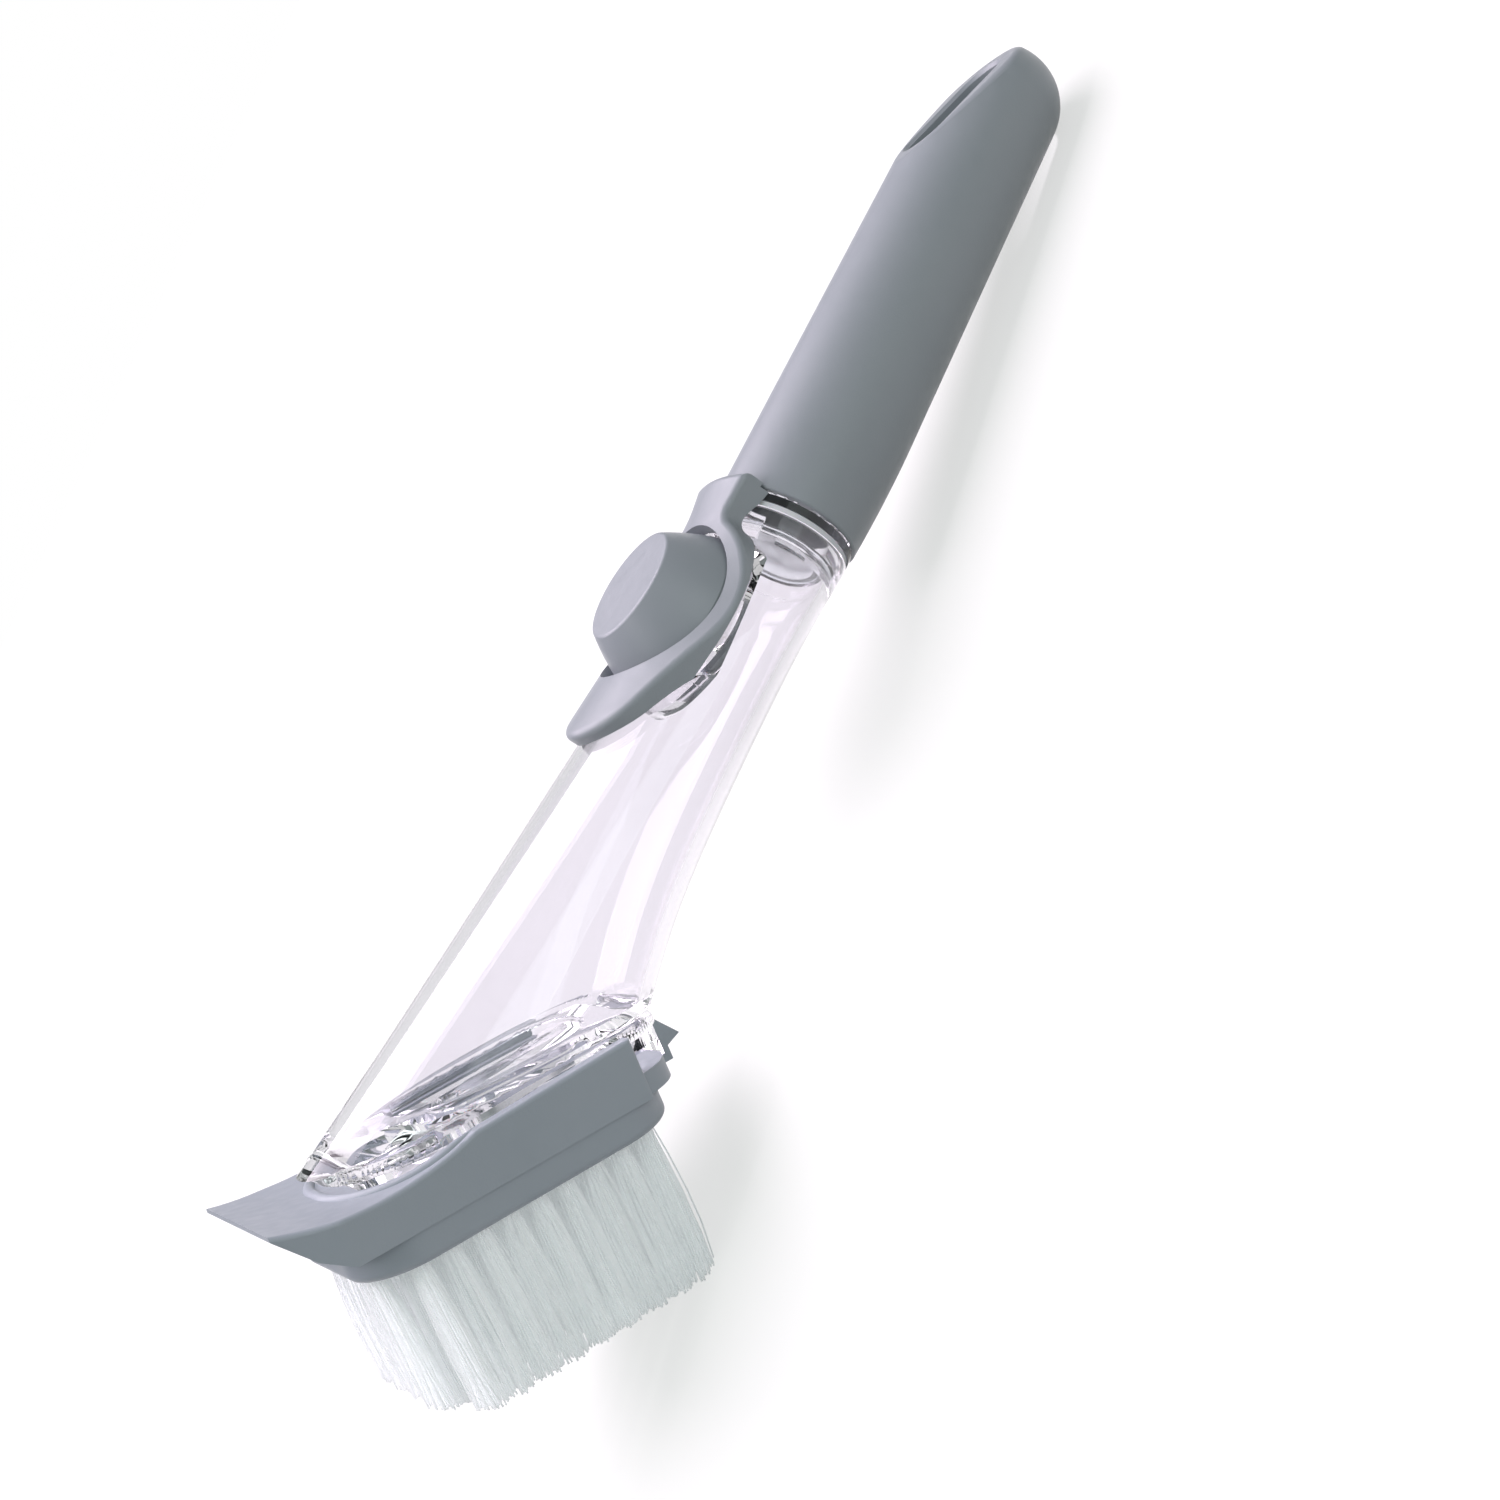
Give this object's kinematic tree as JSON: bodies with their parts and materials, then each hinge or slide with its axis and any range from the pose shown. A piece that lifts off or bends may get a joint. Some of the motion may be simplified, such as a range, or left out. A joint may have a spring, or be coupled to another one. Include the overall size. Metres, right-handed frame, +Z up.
{
  "type": "dish wand",
  "caption": "Soap-dispensing dish brush with a hollow handle, clear reservoir, thumb pump button and a tilting head with bristle tufts and a scraper edge.",
  "frame": {"origin": "middle of the box round the whole wand, on the counter it lies on", "axes": "+X towards the tip of the handle, +Y to the left across the wand, +Z up from the counter"},
  "size_m": [0.2862, 0.046, 0.0754],
  "materials": {
    "grey_satin": "satin moulded plastic",
    "grey_head": "satin moulded plastic",
    "clear_plastic": "clear polished plastic",
    "frosted_plastic": "translucent plastic",
    "white_seal": "soft seal",
    "silicone": "translucent silicone",
    "nylon": "white nylon filament",
    "staple_steel": "flat wire"
  },
  "bodies": {
    "reservoir": {"reservoir_body": "clear_plastic", "reservoir_sole": "clear_plastic", "outlet_valve": "silicone", "valve_retainer": "clear_plastic", "bezel": "grey_satin", "pump_collar": "grey_satin", "collar_gasket": "white_seal", "pump_diaphragm": "silicone"},
    "button": {"button_cap": "grey_satin"},
    "seal": {"neck_seal": "white_seal"},
    "handle": {"handle_grip": "grey_satin", "neck_insert": "clear_plastic", "stopper_cap": "frosted_plastic"},
    "head": {"head_tray": "grey_head", "port_seal": "silicone", "bristle_block": "grey_head", "tuft_staples": "staple_steel", "bristle_tufts": "nylon"},
    "latch": {"release_latch": "grey_head"}
  },
  "joints": [
    {"name": "button_press", "type": "slide", "parent": "reservoir", "child": "button", "axis": [-0.1105, 0, -0.9939], "range_m": [0, 0.004], "stiffness_N_per_m": 900, "deforming": ["pump_diaphragm"]},
    {"name": "plug_lift", "type": "slide", "parent": "reservoir", "child": "seal", "axis": [0.9939, 0, -0.1105], "range_m": [0, 0.0048]},
    {"name": "handle_turn", "type": "hinge", "parent": "seal", "child": "handle", "pos_m": [0.0269, 0, 0.02484], "axis": [0.9939, 0, -0.1105], "range_deg": [0, 720.5]},
    {"name": "head_tilt", "type": "hinge", "parent": "reservoir", "child": "head", "pos_m": [-0.11703, 0, 0.06061], "axis": [0, 1, 0], "range_deg": [0, 12]},
    {"name": "latch_press", "type": "hinge", "parent": "head", "child": "latch", "pos_m": [-0.07964, 0, 0.01849], "axis": [0, 1, 0], "range_deg": [0, 8], "stiffness_Nm_per_rad": 0.3}
  ],
  "couplings": [
    {"joint": "handle_turn", "follows": "plug_lift", "rad_per_m": 2618}
  ]
}
